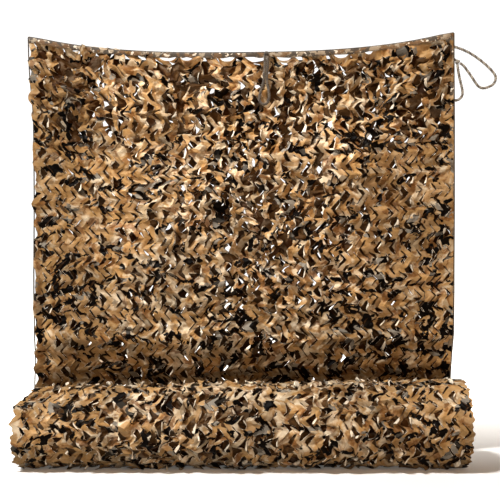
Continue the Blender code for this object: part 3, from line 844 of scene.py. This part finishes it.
# woven polyester tape, a little shiny: cross ribs, a row of stitches, rubbed folds and printed patches
def tapeMaterial(name, dull, worn, printed):
    material, add, shader, link = newMaterial(name)
    place = add("UVMap", {}, uv_map="clothMetres")
    colour = dull
    for kind, over in (("worn", worn), ("printed", printed), ("fleck", hemTape["fleck"])):
        strength, patches = hemTape[kind + "Patches"]
        colour = layOver(add, colour, over, strength, lumps(add, place, *patches))
    along = add("SeparateXYZ", {"Vector": place}, "X")
    along = add("Math", {0: along, 1: 2000 * math.pi / hemTape["stitchMm"]}, **times)
    along = add("Math", {0: along}, operation="SINE")
    along = add("MapRange", {0: along, **hemTape["stitchGaps"]}, **smooth)
    across = awayFrom(add, add("SeparateXYZ", {"Vector": place}, "Y"), hemTape["stitchLine"])
    across = add("MapRange", {0: across, **hemTape["stitchWidth"]}, **smooth)
    stitch = add("Math", {0: along, 1: across}, **times)
    link(layOver(add, colour, hemTape["stitch"], 1.0, stitch), shader["Base Color"])
    shader["Roughness"].default_value = 0.6
    shader["Specular IOR Level"].default_value = 0.3
    ribs = add("TexWave", {"Vector": place, "Scale": 314 / 1.5}, "Fac", bands_direction="X")
    raised = add("Math", {0: ribs, 1: 0.3, 2: stitch}, operation="MULTIPLY_ADD")
    bump = add("Bump", {"Height": raised, "Strength": 0.6, "Distance": 0.0005})
    link(bump, shader["Normal"])
    return material


# a random value from low to 1 at each of some stations, and straight lines between them
def ragged(generator, at, stations, low=-1):
    return np.interp(at, np.arange(stations), generator.uniform(low, 1, stations))


# spots is a function of (share along, distance in from the edge, forward) that gives points
def tapeAlong(name, spots, width, material, seed):
    sections, around = 260, 12
    generator = np.random.default_rng(seed)
    share = np.linspace(0, 1, sections)[:, None]
    turn = np.linspace(0, 2 * math.pi, around, endpoint=False)[None, :]
    ripple = ragged(generator, share * 40, 41) * hemTape["ripple"]
    narrower = ragged(generator, share * 70, 71) * hemTape["unevenness"]
    inward = (width + narrower) * (0.5 - 0.5 * np.cos(turn))
    flatter = 0.55 + 0.45 * np.cos(turn)  # thicker round the cord, at the outer edge
    forward = hemTape["lift"] + ripple + hemTape["thickness"] / 2 * np.sin(turn) * (0.6 + 0.4 * flatter)
    points = spots(share + 0 * turn, inward, forward)
    parts = gridParts(points, (share * hemTape["length"], inward), closed=True)
    return linkMesh(name, *parts, (material,))


def topSpots(share, inward, forward):
    return hungPoints(share, topHeight(share) + hemTape["above"] - inward, forward)


def sideSpots(share, inward, forward):
    height = topHeight(1.0) - share * (topHeight(1.0) - hemTape["sideFoot"])
    forward = forward - hemTape["sideBack"] * smoothStep(0, 0.01, inward)
    return hungPoints(1 - (inward - hemTape["outside"]) / hungWidth, height, forward)


topTape = tapeMaterial("taupePolyesterTape", "#3a3228", "#857865", "#5e4324")
sideTape = tapeMaterial("olivePolyesterTape", "#43382a", "#65543d", "#2b2013")
topHem = tapeAlong("top_hem", topSpots, hang["hemHeight"], topTape, 3)
sideHem = tapeAlong("side_hem", sideSpots, hemTape["sideWidth"], sideTape, 4)
print("hems made")


# Cords: a lobed border cord, and ties of two pale strands and a brown one
cords = {
    "borderDiameter": 0.005,
    "tieDiameter": 0.008,
    "borderFoot": 0.16,
    "borderTwist": 0.012,
    "borderLobes": 0.16,
    "borderSpacing": 0.0024,
    "clearance": 0.0006,
    "twist": 0.024,  # length of one full turn of the strands
    "strandOff": 0.28,  # how far a strand lies from the middle and its radius, in tie diameters
    "strandRadius": 0.36,
    "strandSides": 9,
    "knotStrand": 0.85,  # how much thinner a knot's cord is drawn, and how far inside the knot its route is
    "knotCord": 0.42,
    "middleX": 0.087,
    "spacing": 0.0014,
    "fadedPatches": (16, 3.0, 31.0, (0.4, 0.65)),
}
# routes in millimetres right of, behind and above the point of the top edge that each tie hangs from
cornerLoopRoute = [
    (3.8, 8.7, -43.5), (9, 7.5, -45.5), (17, 4, -49), (29, 1, -54), (44, 0, -61), (60, 0, -69), (86, 0, -86),
    (115, 0, -109), (139, 0, -133), (150, 0, -149), (151.5, 0, -161), (144, -1, -178), (126, -1, -189.5),
    (103, -2, -194), (87, -2, -185), (75, -3, -169), (61.6, -3, -148.6), (48, -3, -129.5), (36, -3, -114),
    (27, -3, -107.5), (23.3, -3, -104.5),
]
cornerTailRoute = [
    (15.2, -3, -108.2), (15.4, -3, -116), (18, -3, -135), (23, -2, -160), (30, -1, -188), (33.5, 0, -206),
    (31.5, 2, -222), (20, 5, -233.5), (6, 8, -236), (-9, 9.5, -229), (-22, 10.5, -216),
]
cornerLinkRoute = [(10.4, 0.6, -95.8), (8.6, 4.6, -92.4), (5, 8.2, -89), (0.5, 9.8, -86), (-6, 10.2, -84)]
middleTieRoute = [
    (4.3, -12.5, -11.6), (5.2, -16, -28), (5.2, -20, -50), (3, -23, -78), (3, -27, -106), (8, -29, -134),
    (10, -31, -162), (4, -31, -180), (-9, -31, -186), (-21, -31, -178), (-24, -31, -162), (-20, -30, -142),
    (-13, -28, -120), (-8, -26, -100), (-6.2, -24, -78), (-4.6, -20, -50), (-4.6, -16, -28),
    (-4.3, -12.5, -11.6),
]
# the place of each knot in the same way, its radius in metres and how far it is tilted
cornerHitchKnot = ((-2.8, 9.6, -41), 0.0074, 0.4)
cornerLoopKnot = ((15.5, -3, -100.5), 0.0092, 0.9)
middleHitchKnot = ((0, -12, -3.5), 0.0088, 1.2)


def lengthsAlong(route):
    return np.concatenate([[0], np.cumsum(np.linalg.norm(np.diff(route, axis=0), axis=1))])


# how far along a line its evenly spaced points are, and those points
def respaced(line, spacing, more=1):
    lengths = lengthsAlong(line)
    wanted = np.linspace(0, lengths[-1], max(4, round(lengths[-1] / spacing) + more))
    return wanted, np.stack([np.interp(wanted, lengths, line[:, axis]) for axis in range(3)], 1)


# points spaced evenly along a Catmull-Rom curve through the given ones
def evenRoute(points, spacing):
    points = np.asarray(points, float)
    ends = np.concatenate([[2 * points[0] - points[1]], points, [2 * points[-1] - points[-2]]])
    t = np.linspace(0, 1, 16, endpoint=False)[:, None]
    fine = []
    for before, start, end, after in zip(ends, ends[1:], ends[2:], ends[3:]):
        bend = (2 * before - 5 * start + 4 * end - after) * t**2
        twist = (3 * start - before - 3 * end + after) * t**3
        fine.append(0.5 * (2 * start + (end - before) * t + bend + twist))
    return respaced(np.concatenate([*fine, points[-1:]]), spacing)[1]


# two sideways directions at each point, turned as little as possible along the way
def framesAlong(route):
    tangents = np.gradient(route, axis=0)
    tangents /= np.linalg.norm(tangents, axis=1)[:, None]
    side = np.cross(tangents[0], (0.3, 0.2, 0.93))
    sides = []
    for tangent in tangents:
        side = side - tangent * side.dot(tangent)
        side = side / np.linalg.norm(side)
        sides.append(side)
    sides = np.array(sides)
    return sides, np.cross(tangents, sides)


# a ring of points round each point of the route, from how far to the side and up they lie
def ringsAlong(route, across, upward):
    sides, ups = framesAlong(route)
    return route[:, None] + across[..., None] * sides[:, None] + upward[..., None] * ups[:, None]


# a tube round the route, moved off it to the side and up, with a pointed cap at both ends
def strandTube(route, centreShift, radius, around):
    turn = np.linspace(0, 2 * math.pi, around, endpoint=False)
    taper = np.ones(len(route))
    taper[0] = taper[-1] = 0.05
    across = centreShift[0][:, None] + radius * taper[:, None] * np.cos(turn)
    upward = centreShift[1][:, None] + radius * taper[:, None] * np.sin(turn)
    points = ringsAlong(route, across, upward)
    return gridParts(points, (lengthsAlong(route)[:, None], turn * radius), closed=True)


# three strands laid round each other, the middle one of the second material
def twistedCord(name, route, diameter, materials):
    length = lengthsAlong(route)
    points, uvs, faces, slots = [], [], [], []
    for strand in (0, 1, 2):
        angle = length / cords["twist"] * 2 * math.pi + strand * math.pi / 1.5
        shift = (np.cos(angle) * diameter * cords["strandOff"], np.sin(angle) * diameter * cords["strandOff"])
        ring, quads, uv = strandTube(route, shift, diameter * cords["strandRadius"], cords["strandSides"])
        faces.append(quads + sum(len(p) for p in points))
        points.append(ring)
        uvs.append(uv)
        slots += [strand % 2] * len(quads)
    piece = linkMesh(name, np.concatenate(points), np.concatenate(faces), np.concatenate(uvs), materials)
    piece.data.polygons.foreach_set("material_index", slots)
    return piece


# an overhand knot drawn tight, of the same strands
def tightKnot(name, point, place, radius, tilt, materials):
    t = np.linspace(0, 2 * math.pi, 90)
    shape = np.stack([np.sin(t) + 2 * np.sin(2 * t), np.cos(t) - 2 * np.cos(2 * t), -1.6 * np.sin(3 * t)], 1)
    shape *= (radius - cords["tieDiameter"] * cords["knotCord"]) / 3
    cos, sin = math.cos(tilt), math.sin(tilt)
    turned = shape @ np.array([[cos, 0, sin], [0, 1, 0], [-sin, 0, cos]])
    route = turned + (point + np.array(place) / 1000)
    return twistedCord(name, route, cords["tieDiameter"] * cords["knotStrand"], materials)


# spun polypropylene: matt hairy strands, with fine yarns that run along them
def ropeMaterial(name, light, dark, roughness):
    material, add, shader, link = newMaterial(name)
    place = add("UVMap", {}, uv_map="clothMetres")
    yarns = {"Vector": place, "Scale": 314 / 1.1, "Distortion": 1.5}
    yarns = add("TexWave", yarns, "Fac", bands_direction="DIAGONAL")
    share = add("Math", {0: yarns, 1: lumps(add, place, *cords["fadedPatches"])})
    link(layOver(add, dark, light, 0.5, share), shader["Base Color"])
    shader["Roughness"].default_value = roughness
    shader["Specular IOR Level"].default_value = 0.25
    shader["Sheen Weight"].default_value = 0.2
    bump = add("Bump", {"Height": yarns, "Strength": 0.7, "Distance": 0.0004})
    link(bump, shader["Normal"])
    return material


paleStrand = ropeMaterial("paleSpunStrand", "#9f998c", "#6f685e", 0.8)
brownStrand = ropeMaterial("brownSpunStrand", "#675f55", "#382f26", 0.8)
greyStrand = ropeMaterial("greySpunStrand", "#6d6356", "#2f281f", 0.8)
borderRope = ropeMaterial("borderSpunCord", "#5a5044", "#1d1813", 0.75)

cornerPoint = hungPoints(np.array(1.0), np.array(hang["rightCorner"]))
left, right = drape(np.array(hang["height"]), 1), drape(np.array(hang["height"]), 2)
middleShare = np.array((cords["middleX"] - left) / (right - left))
middlePoint = hungPoints(middleShare, topHeight(middleShare))
cornerLoop, cornerTail, cornerLink, middleTie = (
    evenRoute(point + np.array(route) / 1000, cords["spacing"]) for point, route in (
        (cornerPoint, cornerLoopRoute), (cornerPoint, cornerTailRoute), (cornerPoint, cornerLinkRoute),
        (middlePoint, middleTieRoute))
)
paleStrands, greyStrands = (paleStrand, brownStrand), (greyStrand, borderRope)
loopPiece, tailPiece, linkPiece, middlePiece = (
    twistedCord(name, route, cords["tieDiameter"], strands) for name, route, strands in (
        ("corner_loop_cord", cornerLoop, paleStrands), ("corner_tail_cord", cornerTail, paleStrands),
        ("corner_link_cord", cornerLink, paleStrands), ("middle_tie_cord", middleTie, greyStrands))
)
cornerHitch = tightKnot("corner_hitch_knot", cornerPoint, *cornerHitchKnot, paleStrands)
cornerKnot = tightKnot("corner_loop_knot", cornerPoint, *cornerLoopKnot, paleStrands)
middleHitch = tightKnot("middle_hitch_knot", middlePoint, *middleHitchKnot, greyStrands)


# up the left side, along the top edge and down the right side
def borderCord():
    out = cords["borderDiameter"] / 2 + cords["clearance"]
    heights = cords["borderFoot"] + 0.07 * np.arange(19)
    leftSide = hungPoints(0.0 * heights, heights) + (-out, 0, 0)
    rightSide = hungPoints(0.0 * heights + 1, heights[::-1]) + (out, 0, 0)
    share = np.linspace(0, 1, 33)
    top = hungPoints(share, topHeight(share)) + (0, 0, out)
    leftTurn, rightTurn = top[:1] + (-out, 0, -out * 0.4), top[-1:] + (out, 0, -out * 0.4)
    corners = np.concatenate([leftSide, leftTurn, top, rightTurn, rightSide])
    wanted, route = respaced(corners, cords["borderSpacing"], 0)
    turn = np.linspace(0, 2 * math.pi, 10, endpoint=False)[None, :]
    lay = wanted[:, None] / cords["borderTwist"] * 2 * math.pi
    lobes = cords["borderLobes"] * (np.abs(np.cos(1.5 * (turn - lay))) - 1)
    radius = cords["borderDiameter"] / 2 * (1 + lobes)
    points = ringsAlong(route, radius * np.cos(turn), radius * np.sin(turn))
    parts = gridParts(points, (wanted[:, None], turn * cords["borderDiameter"] / 2), closed=True)
    return linkMesh("border_cord", *parts, (borderRope,))


edgeCord = borderCord()
tieLengths = tuple(lengthsAlong(route)[-1] for route in (cornerLoop, cornerTail, middleTie))
print("cords: loop %.3f m, tail %.3f m, middle tie %.3f m" % tieLengths)


# Roll ends: the turns of the same cloth, one inside another
rollEnds = {
    "turns": (roll["wrap"], 10.0),
    "perTurn": 56,
    "across": 7,
    "inset": 0.004,
    "frayed": 0.011,
    "notched": 0.010,
    "loose": 0.0035,
    "print": (0.4, 2.4, 0.1),  # where in the print they were cut, across and down, and metres to a radian
    "innerTurns": (1.6, 2.9),
    "innerWave": 0.0022,
    "innerInset": 0.05,
}


def endTurns(name, side, seed):
    generator = np.random.default_rng(seed)
    firstTurn, lastTurn = rollEnds["turns"]
    steps = int((lastTurn - firstTurn) * rollEnds["perTurn"]) + 1
    angle = 2 * math.pi * (firstTurn + np.arange(steps) / rollEnds["perTurn"])[:, None]
    inwards = np.linspace(0, 1, rollEnds["across"])[None, :] ** 1.3
    spots = np.arange(steps)
    frayed = ragged(generator, spots / 3.0, steps // 3 + 3, 0)[:, None]
    notch = np.abs((spots / 5.0) % 2 - 1)[:, None]
    end = roll["left"] if side < 0 else roll["right"]
    inset = rollEnds["inset"] + rollEnds["frayed"] * frayed + rollEnds["notched"] * notch
    x = end - side * (inset + (roll["endReach"] - inset) * inwards)
    drawnIn = roll["shoulder"] * smoothStep(*roll["shoulderTurn"], angle % (2 * math.pi)) * (side < 0)
    x = x + drawnIn * (1 - angle / (2 * math.pi * lastTurn)) * (1 - inwards)
    loose = ragged(generator, spots / 4.0, steps // 4 + 3)[:, None]
    outward = loose * rollEnds["loose"] * (1 - 0.6 * inwards)
    aside, start, perRadian = rollEnds["print"]
    parts = gridParts(rollPoints(x, angle, outward), (aside * side + x, start + perRadian * angle))
    piece = linkMesh(name, *parts, turnMaterials)
    thicken(piece, leafCut["thickness"])
    return piece


leftTurns = endTurns("roll_left_turns", -1, 21)
rightTurns = endTurns("roll_right_turns", 1, 22)


# the turn under the outer leaves, across the whole roll
def innerTurn():
    share = np.linspace(0, 1, 90)[None, :]
    angle = np.linspace(*rollEnds["innerTurns"], 70)[:, None] * 2 * math.pi
    inset = rollEnds["innerInset"]
    x = roll["left"] + inset + share * (roll["right"] - roll["left"] - 2 * inset)
    wave = np.random.default_rng(31).uniform(-1, 1, (71, 91))[:70, :90] * rollEnds["innerWave"]
    parts = gridParts(rollPoints(x, angle, wave), (x, rollEnds["print"][2] * angle))
    # its face washed dark brown, painted shade inside the roll
    piece = linkMesh("roll_inner_turn", *parts, underMaterials)
    thicken(piece, leafCut["thickness"])
    return piece


inner = innerTurn()
print("roll ends made")


# Studio: a wide white paper floor, a bright haze of light behind it and soft lamps in front
studioValues = {
    "paper": "#cfcdc9",
    "mottle": ("#d6d3ce", 0.04),
    "mottleLumps": (6, 3.0, 0.0),
    "floorRadius": 12.0,
    "floorGlow": {1: -0.35, 2: 0.9, 4: 1.6},  # what lights the paper behind the net beyond the lamps
    "frontHaze": "#ffe6cb",
    "backward": {1: -0.25, 2: 0.35},  # where the haze behind the net and the one near the horizon come in
    "downward": {1: 0.75, 2: 0.35},
    "horizon": {3: 0.24, 4: 1.15},  # its strength in front and behind, and overhead
    "above": 0.03,
}


# matte paper: almost even white with a faint fibre mottle, lit more and more behind the net
def floorPaper():
    material, add, shader, link = newMaterial("studioPaper")
    place = add("TexCoord", {}, "Object")
    values = studioValues
    mottle = lumps(add, place, *values["mottleLumps"])
    colour = layOver(add, values["paper"], *values["mottle"], mottle)
    link(colour, shader["Base Color"])
    away = add("SeparateXYZ", {"Vector": place}, "Y")
    glow = add("MapRange", {0: away, **values["floorGlow"]}, **smooth)
    link(colour, shader["Emission Color"])
    link(glow, shader["Emission Strength"])
    shader["Roughness"].default_value = 0.9
    return material


def paperFloor():
    around = 96
    turn = np.linspace(0, 2 * math.pi, around, endpoint=False)
    height = -hang["height"] - 0.0004
    rim = np.stack([np.cos(turn), np.sin(turn), 0 * turn], -1) * studioValues["floorRadius"] + (0, 0, height)
    faces = [(0, 1 + i, 1 + (i + 1) % around) for i in range(around)]
    piece = linkMesh("paper_floor", np.concatenate([[(0, 0, height)], rim]), faces)
    netting.objects.unlink(piece)
    studio.objects.link(piece)
    piece.data.materials.append(floorPaper())
    return piece


# brightest near the horizon behind the net, dimmer in front and overhead
def studioHaze():
    world = bpy.data.worlds.new("studio")
    bpy.context.scene.world = world
    world.use_nodes = True
    tree = world.node_tree
    add = partial(addNode, tree)
    towards = add("TexCoord", {}, "Generated")
    back = add("SeparateXYZ", {"Vector": towards}, "Y")
    back = add("MapRange", {0: back, **studioValues["backward"]}, **smooth)
    low = add("SeparateXYZ", {"Vector": towards}, "Z")
    low = add("MapRange", {0: low, **studioValues["downward"]}, **smooth)
    horizon = add("MapRange", {0: back, **studioValues["horizon"]})
    strength = add("MapRange", {0: low, 3: studioValues["above"], 4: horizon})
    colour = layOver(add, studioValues["frontHaze"], "#ffffff", 1.0, back)
    tree.links.new(colour, tree.nodes["Background"].inputs["Color"])
    tree.links.new(strength, tree.nodes["Background"].inputs["Strength"])


# place, what it is aimed at, size in metres, watts and colour
lamps = {
    "key": ((-4.0, -3.4, 6.7), (0, 0, -0.6), 1.1, 1795, "#ffffff"),
    "fill": ((1.4, -4.6, 1.5), (0, 0, -0.7), 2.6, 125, "#ffcfa0"),
}
for name, (place, aim, size, power, colour) in lamps.items():
    lamp = bpy.data.objects.new(name, bpy.data.lights.new(name, "AREA"))
    lamp.data.size = size
    lamp.data.energy = power
    lamp.data.color = linear(colour)[:3]
    lamp.location = place
    lamp.rotation_euler = (Vector(aim) - Vector(place)).to_track_quat("-Z", "Y").to_euler()
    studio.objects.link(lamp)

paper = paperFloor()
studioHaze()
print("studio lit")

# What each piece rides on and stands for
clothPieces = (hungNet, hungUnder, rollWrap, rollUnder, leftTurns, rightTurns, inner)
tiePieces = (loopPiece, tailPiece, linkPiece, middlePiece, cornerHitch, cornerKnot, middleHitch)
for piece in (*clothPieces, topHem, sideHem, edgeCord, *tiePieces):
    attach(piece, "root")
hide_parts("hung_net")
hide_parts("net_roll")
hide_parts("edge_cord")
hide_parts("corner_tie_loop")
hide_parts("corner_tie_tail")
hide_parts("corner_tie_link")
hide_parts("middle_tie")
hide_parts("corner_hitch")
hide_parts("corner_knot")
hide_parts("middle_hitch")
